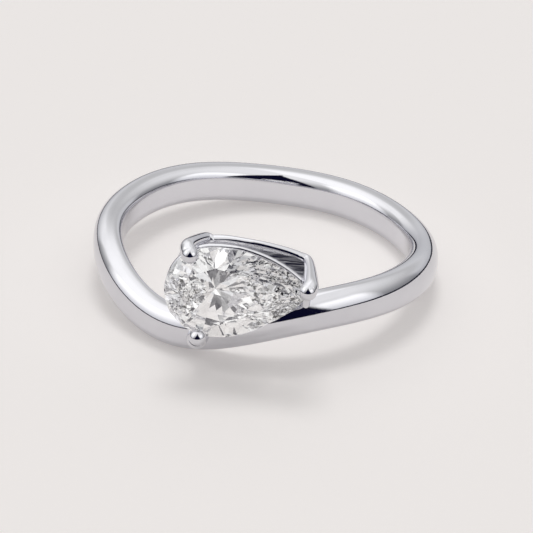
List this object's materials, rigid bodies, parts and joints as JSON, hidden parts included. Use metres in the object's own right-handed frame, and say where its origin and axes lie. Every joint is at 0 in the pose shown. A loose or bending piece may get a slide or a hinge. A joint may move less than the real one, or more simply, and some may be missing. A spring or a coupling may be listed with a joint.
{
  "type": "pear engagement ring",
  "caption": "Finger ring whose waved band dips under a pear-cut stone set lengthways, held by claws over a wire gallery.",
  "frame": {"origin": "middle of the finger hole", "axes": "+Z along the finger's axis, upwards as the ring lies on its side, -Y towards the stone"},
  "size_m": [0.0196, 0.0222, 0.0083],
  "materials": {
    "white_gold": "mirror polished white gold",
    "diamond": "clear, polished flat facets"
  },
  "bodies": {
    "root": {"ring_mounting": "white_gold", "pear_stone": "diamond"}
  },
  "joints": []
}
